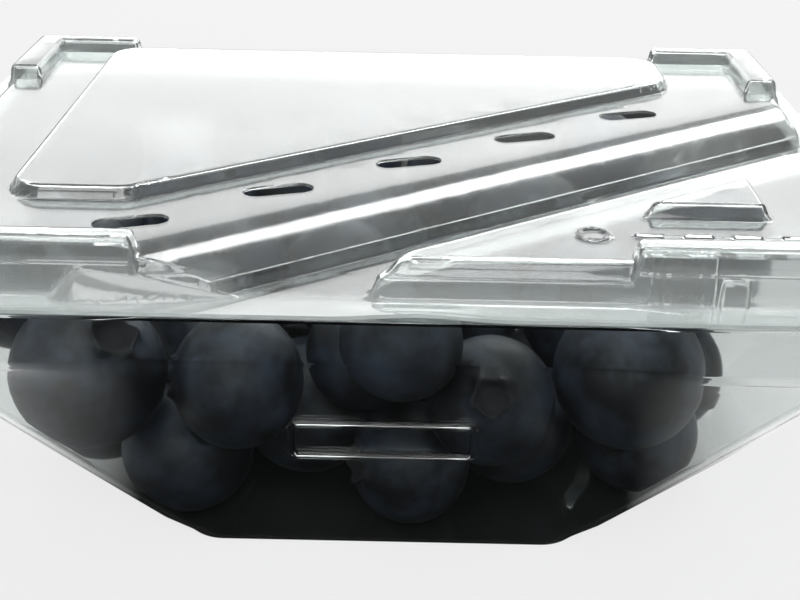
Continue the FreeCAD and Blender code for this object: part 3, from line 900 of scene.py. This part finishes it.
@dataclass
class Tray:
    """Lower half of the pack: eight-sided floor, slanting walls, band, flange and the tray's hinge lip."""

    sheet: ClearSheet
    thickness: float = 0.4
    floor: Point = (44.0, 30.5)
    floor_cut: Point = (23.0, 19.5)
    floor_round: float = 5.0
    crease: Point = (54.5, 40.9)
    crease_z: float = 29.6
    mouth: Point = (55.5, 41.5)
    mouth_cut: float = 4.0
    mouth_round: float = 5.0
    top: float = 37.0
    flange: Point = (59.5, 45.5)
    flange_corner: float = 9.0
    bulge_start: float = 28.4
    bulge_end: float = 30.2
    bulge_proud: float = 1.2
    bulge_low: float = 28.0
    corner_steps: int = 6
    side_steps: int = 20
    end_steps: int = 8
    slant_steps: int = 5
    panel: Point = (21.0, 6.2)
    panel_rise: float = 18.5
    panel_rim: float = 0.9
    panel_proud: float = 0.5
    panel_corner: float = 1.2
    panel_bevel: float = 0.25

    def outline(self, half: Point, cut: Point, radius: float) -> list[Point]:
        """Points of a rounded eight-sided outline, the same number at every level.

        Args:
            half: Half its length and depth.
            cut: How much each corner loses along X and Y.
            radius: Radius of the eight corners.

        Returns:
            The points, anticlockwise from the front side's left end.
        """
        half_x, half_y = half
        cut_x, cut_y = cut
        corners = [
            (-half_x + cut_x, -half_y), (half_x - cut_x, -half_y), (half_x, -half_y + cut_y),
            (half_x, half_y - cut_y), (half_x - cut_x, half_y), (-half_x + cut_x, half_y),
            (-half_x, half_y - cut_y), (-half_x, -half_y + cut_y),
        ]
        runs = [self.side_steps, self.slant_steps, self.end_steps, self.slant_steps] * 2
        arcs = []
        for i, corner in enumerate(corners):
            here = Vector(corner)
            back = (Vector(corners[i - 1]) - here).normalized()
            forth = (Vector(corners[(i + 1) % 8]) - here).normalized()
            half_angle = back.angle(forth) / 2
            centre = here + (back + forth).normalized() * (radius / math.sin(half_angle))
            start = here + back * (radius / math.tan(half_angle)) - centre
            sweep = math.pi - 2 * half_angle
            arc = []
            for step in range(self.corner_steps + 1):
                turn = Matrix.Rotation(sweep * step / self.corner_steps, 2)
                point = centre + turn @ start
                arc.append((point.x, point.y))
            arcs.append(arc)
        points = []
        for i, arc in enumerate(arcs):
            points += arc
            end = Vector(arc[-1])
            after = Vector(arcs[(i + 1) % 8][0])
            for step in range(1, runs[i]):
                point = end.lerp(after, step / runs[i])
                points.append((point.x, point.y))
        return points

    def flange_outline(self, inset: float) -> list[Point]:
        """Points of the flange's outline, one for each point of the mouth's.

        Args:
            inset: How far inside the flange's edge.

        Returns:
            The points, in the mouth's order.
        """
        half_x = self.flange[0] - inset
        half_y = self.flange[1] - inset
        radius = self.flange_corner - inset
        group = 2 * self.corner_steps + self.slant_steps
        points = []
        middles = ((1, -1, -90.0), (1, 1, 0.0), (-1, 1, 90.0), (-1, -1, 180.0))
        for side_x, side_y, start in middles:
            centre = Vector((side_x * (half_x - radius), side_y * (half_y - radius)))
            arc = []
            for step in range(group + 1):
                angle = math.radians(start + 90.0 * step / group)
                arc.append(centre + Vector((math.cos(angle), math.sin(angle))) * radius)
            points.append(arc)
        ordered = []
        runs = (self.end_steps, self.side_steps, self.end_steps, self.side_steps)
        for number, arc in enumerate(points):
            ordered += arc
            after = points[(number + 1) % 4][0]
            for step in range(1, runs[number]):
                ordered.append(arc[-1].lerp(after, step / runs[number]))
        shift = len(ordered) - (self.side_steps - 1) - self.corner_steps - 1
        rolled = ordered[shift:] + ordered[:shift]
        return [(point.x, point.y) for point in rolled]

    def bulge(self, x: float) -> float:
        """How much fuller the band is at a place along it."""
        share = (abs(x) - self.bulge_start) / (self.bulge_end - self.bulge_start)
        return self.bulge_proud * soft_step(share)

    def levels(self) -> list[tuple[float, list[Point]]]:
        """Height and outline of every ring of the tray's outer face, from the floor to the flange."""
        floor = []
        for inset, z in ((3.0, 0.0), (1.4, 0.0), (0.7, 0.06), (0.25, 0.3), (0.0, 0.8)):
            half = (self.floor[0] - inset, self.floor[1] - inset)
            floor.append((z, self.outline(half, self.floor_cut, self.floor_round - inset)))
        low = self.outline(self.floor, self.floor_cut, self.floor_round)
        high = self.outline(self.crease, (self.mouth_cut,) * 2, self.mouth_round)
        rings = floor
        for share in (0.12, 0.25, 0.4, 0.55, 0.7, 0.82, 0.9, 0.96, 0.985, 1.0):
            ring = [(a[0] + (b[0] - a[0]) * share, a[1] + (b[1] - a[1]) * share) for a, b in zip(low, high)]
            z = self.crease_z * share
            rings.append((z, self.swollen(ring, z)))
        for share in (0.04, 0.15, 0.35, 0.6, 0.85, 0.95):
            half = tuple(a + (b - a) * share for a, b in zip(self.crease, self.mouth))
            z = self.crease_z + (self.top - self.crease_z - 0.4) * share
            rings.append((z, self.swollen(self.outline(half, (self.mouth_cut,) * 2, self.mouth_round), z)))
        under = self.top - self.thickness
        mouth = self.outline(self.mouth, (self.mouth_cut,) * 2, self.mouth_round)
        rings.append((under - 0.1, self.swollen(mouth, under)))
        grown = self.outline(tuple(v + 0.3 for v in self.mouth), (self.mouth_cut,) * 2, self.mouth_round)
        rings.append((under, self.swollen(grown, under)))
        rings.append((under, self.flange_outline(1.2)))
        rings.append((under, self.flange_outline(0.0)))
        return rings

    def swollen(self, ring: list[Point], z: float) -> list[Point]:
        """Push the band's end sections out of the long walls.

        Args:
            ring: The ring's points.
            z: Its height.

        Returns:
            The points, moved along Y.
        """
        rise = soft_step((z - self.bulge_low + 0.8) / 1.6)
        moved = []
        for x, y in ring:
            near_wall = soft_step((abs(y) - 20.0) / 14.0)
            moved.append((x, y + math.copysign(self.bulge(x) * rise * near_wall, y)))
        return moved

    def build(self) -> bpy.types.Object:
        """Build and dress the tray.

        Returns:
            The tray's piece.
        """
        bm = bmesh.new()
        rings = self.levels()
        count = len(rings[0][1])
        ring = bmesh.ops.create_circle(bm, cap_ends=True, radius=1, segments=count)["verts"]
        edges = bm.edges[:]
        for number, (z, points) in enumerate(rings):
            if number:
                made = bmesh.ops.extrude_edge_only(bm, edges=edges)["geom"]
                edges = [item for item in made if isinstance(item, bmesh.types.BMEdge) and item.is_boundary]
                by_old = {}
                for vert in (item for item in made if isinstance(item, bmesh.types.BMVert)):
                    old = next(e.other_vert(vert) for e in vert.link_edges if not e.is_boundary)
                    by_old[old] = vert
                ring = [by_old[vert] for vert in ring]
            for vert, (x, y) in zip(ring, points):
                vert.co = (x, y, z)
        add_hinge_lip(bm, Half.TRAY)
        bmesh.ops.recalc_face_normals(bm, faces=bm.faces)
        if min(bm.faces, key=lambda face: face.calc_center_median().z).normal.z > 0:
            bmesh.ops.reverse_faces(bm, faces=bm.faces)
        piece = finished(bm, "tray_sheet", [self.sheet.material()])
        solid = piece.modifiers.new("sheet", "SOLIDIFY")
        solid.thickness = self.thickness * MM
        solid.offset = -1
        solid.use_even_offset = True
        settled(piece)
        combined(piece, self.frame_tool(), "UNION")
        true_normals(piece)
        return piece

    def frame_tool(self) -> bpy.types.Object:
        """Make the plain raised frame of the front wall."""
        bm = bmesh.new()
        bmesh.ops.create_grid(bm, x_segments=1, y_segments=1, size=0.5)
        bmesh.ops.scale(bm, vec=(*self.panel, 1), verts=bm.verts)
        bmesh.ops.bevel(bm, geom=bm.verts[:], offset=self.panel_corner, offset_type="OFFSET", segments=5,
                        profile=0.5, affect="VERTICES", material=-1)
        middle = bm.faces[:]
        bmesh.ops.inset_region(bm, faces=middle, thickness=self.panel_rim, use_even_offset=True,
                               use_boundary=True)
        bmesh.ops.delete(bm, geom=middle, context="FACES_ONLY")
        raised = bmesh.ops.extrude_face_region(bm, geom=bm.faces[:])["geom"]
        top = [item for item in raised if isinstance(item, bmesh.types.BMVert)]
        bmesh.ops.translate(bm, vec=(0, 0, 2 * self.panel_proud), verts=top)
        edges = [edge for edge in bm.edges if set(edge.verts) <= set(top) and edge.calc_face_angle(0) > 1]
        bmesh.ops.bevel(bm, geom=edges, offset=self.panel_bevel, offset_type="OFFSET", segments=3,
                        profile=0.5, affect="EDGES", material=-1)
        bmesh.ops.recalc_face_normals(bm, faces=bm.faces)
        lean = math.atan2(self.crease[1] - self.floor[1], self.crease_z)
        wall_y = -(self.floor[1] + (self.crease[1] - self.floor[1]) * self.panel_rise / self.crease_z)
        turn = Matrix.Translation((0, wall_y, self.panel_rise))
        turn @= Matrix.Rotation(math.pi / 2 + lean, 4, "X") @ Matrix.Translation((0, 0, -self.panel_proud))
        bmesh.ops.transform(bm, matrix=turn, verts=bm.verts)
        return finished(bm, "front_frame", [self.sheet.material()])


@dataclass
class Fruit:
    """The loose berries: slightly flattened balls, each with a star-shaped calyx."""

    skin: FruitSkin
    calyx: DryCalyx
    segments: int = 40
    flattening: float = 0.95
    crown: float = 0.32
    crown_rise: float = 0.05
    pit: float = 0.13
    lobes: int = 5
    golden: float = 0.618034
    lean: Point = (25.0, 130.0)

    def section(self) -> list[Point]:
        """Radius and height of a berry of unit radius, from its foot to the middle of its calyx."""
        points = []
        steps = 22
        last = math.pi - math.asin(self.crown)
        for i in range(steps + 1):
            angle = last * i / steps
            points.append((math.sin(angle), -math.cos(angle) * self.flattening))
        rim = points[-1][1]
        points.append((self.crown * 0.93, rim + self.crown_rise))
        points.append((self.crown * 0.82, rim + self.crown_rise * 0.8))
        points.append((self.crown * 0.7, rim - self.pit * 0.5))
        points.append((self.crown * 0.35, rim - self.pit))
        points.append((0.0, rim - self.pit * 0.9))
        return points

    def build(self, node: str, index: int, materials: Sequence[bpy.types.Material]) -> bpy.types.Object:
        """Build one berry in the place of its node.

        Args:
            node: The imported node's name.
            index: Its number in the row, from 0.
            materials: Skin and calyx.

        Returns:
            The berry's piece.
        """
        low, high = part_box(node)
        centre = (Vector(low) + Vector(high)) / 2 / MM
        radius = max(Vector(high) - Vector(low)) / 2 / MM
        bm = bmesh.new()
        points = self.section()
        verts = [bm.verts.new((r * radius, 0, z * radius)) for r, z in points]
        edges = [bm.edges.new(pair) for pair in zip(verts, verts[1:])]
        bmesh.ops.spin(bm, geom=verts + edges, cent=(0, 0, 0), axis=(0, 0, 1), angle=math.tau,
                       steps=self.segments, use_merge=True)
        bmesh.ops.remove_doubles(bm, verts=bm.verts, dist=0.002)
        crown_start = self.section()[-6][1] * radius
        for vert in bm.verts:
            flat = math.hypot(vert.co.x, vert.co.y) / radius
            if flat > self.crown * 1.3 or vert.co.z < crown_start * 0.8 or flat < self.crown * 0.4:
                continue
            heading = math.atan2(vert.co.y, vert.co.x)
            lobe = math.cos(heading * self.lobes)
            rim = 1 - abs(flat / self.crown - 0.92) / 0.4
            if rim > 0:
                vert.co.z += radius * 0.035 * rim * lobe
                spread = 1 + 0.1 * rim * lobe
                vert.co.x *= spread
                vert.co.y *= spread
        for face in bm.faces:
            middle = face.calc_center_median()
            inner = math.hypot(middle.x, middle.y) < self.crown * 0.97 * radius
            face.material_index = 1 if inner and middle.z > 0 else 0
        bmesh.ops.recalc_face_normals(bm, faces=bm.faces)
        lean = self.lean[0] + self.lean[1] * ((index * (1 - self.golden)) % 1.0)
        heading = 360.0 * ((index * self.golden) % 1.0)
        place = Matrix.Translation(centre)
        place @= Matrix.Rotation(math.radians(heading), 4, "Z")
        place @= Matrix.Rotation(math.radians(lean), 4, "Y")
        bmesh.ops.transform(bm, matrix=place, verts=bm.verts)
        return finished(bm, node.replace("berry", "fruit"), materials)


@dataclass
class Studio:
    """Pale floor and background, soft panels behind, at the side, overhead and in front, and the camera."""

    background: str = "#F6F6F6"
    floor_colour: str = "#E9E9E9"
    # painted shade: every ray but the camera's sees the floor in this dark colour, so the sheet's
    # reflections and the view through it show a dark floor
    painted_shade_colour: str = "#383838"
    floor_glow: float = 0.85
    floor_radius: float = 3000.0
    floor_gap: float = 0.02
    fill: float = 0.2
    aim: tuple[float, float, float] = (0, 0, 30)
    # painted shadow: seen in the sheet's reflections and through it, the floor stays dark near the pack and
    # in front of and behind it, and turns pale only beside its ends, rising over the X reach and falling
    # over the Y reach
    shadow_x: Point = (31.0, 52.0)
    shadow_y: Point = (90.0, 50.0)
    camera_place: tuple[float, float, float] = (1.6, -162.7, 94.1)
    camera_pitch: float = 25.0
    camera_roll: float = 1.2
    focal_pixels: float = 1330.0
    image_width: float = 800.0
    sensor_width: float = 36.0
    clip: Point = (0.005, 20.0)

    def camera(self) -> None:
        """Set the camera where the photograph was taken from."""
        data = bpy.data.cameras.new("camera")
        data.sensor_width = self.sensor_width
        data.lens = self.sensor_width * self.focal_pixels / self.image_width
        data.clip_start, data.clip_end = self.clip
        camera = bpy.data.objects.new("camera", data)
        bpy.context.scene.collection.objects.link(camera)
        camera.location = Vector(self.camera_place) * MM
        turn = Matrix.Rotation(math.radians(90 - self.camera_pitch), 4, "X")
        turn @= Matrix.Rotation(math.radians(self.camera_roll), 4, "Z")
        camera.rotation_euler = turn.to_euler()
        bpy.context.scene.camera = camera

    def world(self) -> None:
        """Light the scene softly from all round, and show the plain background."""
        world = bpy.data.worlds.new("studio")
        bpy.context.scene.world = world
        world.use_nodes = True
        tree = world.node_tree
        tree.nodes.clear()
        output = add_node(tree, "ShaderNodeOutputWorld")
        ray = add_node(tree, "ShaderNodeLightPath")
        seen = calculated(tree, "MAXIMUM", ray.outputs["Is Camera Ray"], ray.outputs["Is Transmission Ray"])
        fill = add_node(tree, "ShaderNodeBackground", {"Color": (1, 1, 1, 1), "Strength": self.fill})
        pale = add_node(tree, "ShaderNodeBackground", {"Color": linear(self.background), "Strength": 1.0})
        ways = {0: seen, 1: fill.outputs["Background"], 2: pale.outputs["Background"]}
        mix = add_node(tree, "ShaderNodeMixShader", ways)
        tree.links.new(mix.outputs["Shader"], output.inputs["Surface"])

    def floor(self) -> None:
        """Lay the floor, pale to the camera with a soft shadow, painted dark for every other ray, and with
        the pale glow seen in the sheet held off near the pack as a painted shadow.
        """
        bm = bmesh.new()
        bmesh.ops.create_circle(bm, cap_ends=True, radius=self.floor_radius, segments=64)
        material, tree, output = new_material("pale_floor")
        glow = add_node(tree, "ShaderNodeEmission", {"Color": linear(self.background), "Strength": 1.0})
        ray = add_node(tree, "ShaderNodeLightPath")
        # painted shade: the floor takes the dark colour for every ray but the camera's
        tones = {
            "Factor": ray.outputs["Is Camera Ray"], 6: linear(self.painted_shade_colour), 7: linear(self.floor_colour),
        }
        tone = add_node(tree, "ShaderNodeMix", tones, data_type="RGBA")
        matt = add_node(tree, "ShaderNodeBsdfDiffuse", {"Color": tone.outputs[2]})
        place = add_node(tree, "ShaderNodeTexCoord")
        axes = add_node(tree, "ShaderNodeSeparateXYZ", {0: place.outputs["Object"]})
        # painted shadow: the pale glow that the sheet shows is held off near the pack, so the floor there
        # stays dark
        beyond = []
        for axis, (low, high) in (("X", self.shadow_x), ("Y", self.shadow_y)):
            reach = calculated(tree, "ABSOLUTE", axes.outputs[axis])
            span = {"Value": reach, "From Min": low * MM, "From Max": high * MM}
            beyond.append(add_node(tree, "ShaderNodeMapRange", span).outputs["Result"])
        beside = calculated(tree, "MINIMUM", *beyond)
        rays = (ray.outputs["Is Transmission Ray"], ray.outputs["Is Glossy Ray"])
        through = calculated(tree, "MAXIMUM", *rays)
        held = calculated(tree, "MULTIPLY", beside, through)
        straight = calculated(tree, "MULTIPLY", ray.outputs["Is Camera Ray"], self.floor_glow)
        seen = calculated(tree, "MAXIMUM", held, straight)
        ways = {0: seen, 1: matt.outputs["BSDF"], 2: glow.outputs["Emission"]}
        mix = add_node(tree, "ShaderNodeMixShader", ways)
        tree.links.new(mix.outputs["Shader"], output.inputs["Surface"])
        floor = finished(bm, "studio_floor", [material])
        floor.location.z = -self.floor_gap * MM

    def panel(self, name: str, place: tuple[float, float, float], size: Point, radiance: float,
              roll: float = 0.0) -> None:
        """Hang one soft light panel.

        Args:
            name: The light's name.
            place: Its middle, in millimetres.
            size: Its width and height, in millimetres.
            radiance: How bright its face is, where 1 is white.
            roll: Its turn in its own plane, in degrees.
        """
        data = bpy.data.lights.new(name, "AREA")
        data.shape = "RECTANGLE"
        data.size = size[0] * MM
        data.size_y = size[1] * MM
        data.energy = radiance * math.pi * data.size * data.size_y
        light = bpy.data.objects.new(name, data)
        bpy.context.scene.collection.objects.link(light)
        light.location = Vector(place) * MM
        towards = Vector(self.aim) * MM - light.location
        facing = towards.to_track_quat("-Z", "Y").to_matrix() @ Matrix.Rotation(math.radians(roll), 3, "Z")
        light.rotation_euler = facing.to_euler()
        light.visible_camera = False

    def build(self) -> None:
        """Set up the whole studio."""
        self.camera()
        self.world()
        self.floor()
        self.panel("back_panel", (0, 620, 218), (900, 320), 1.75, 12.0)
        self.panel("side_panel", (150, 460, 458), (440, 115), 7.0, 40.8)
        self.panel("top_panel", (-40, -60, 700), (380, 260), 3.0)
        self.panel("front_panel", (-120, -560, 560), (560, 320), 3.6)
        bpy.context.scene.view_settings.view_transform = "Standard"


def main() -> None:
    """Build every piece in order and report it."""
    logging.basicConfig(level=logging.INFO, format="%(message)s")
    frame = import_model()
    Studio().build()
    tray = Tray(ClearSheet()).build()
    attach(tray, "tray")
    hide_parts("tray")
    LOG.info("tray: %d faces", len(tray.data.polygons))
    lid = Lid(ClearSheet(name="drawn_pet_sheet", roughness=0.075, milky=0.28)).build()
    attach(lid, "lid")
    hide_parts("lid")
    LOG.info("lid: %d faces", len(lid.data.polygons))
    skin = FruitSkin()
    calyx = DryCalyx()
    fruit = Fruit(skin, calyx)
    materials = (skin.material(), calyx.material())
    nodes = sorted(name for name in frame["nodes"] if name.startswith("berry_"))
    for index, node in enumerate(nodes):
        berry = fruit.build(node, index, materials)
        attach(berry, "tray")
        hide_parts(node)
    LOG.info("fruit: %d berries", len(nodes))


if __name__ == "__main__":
    main()
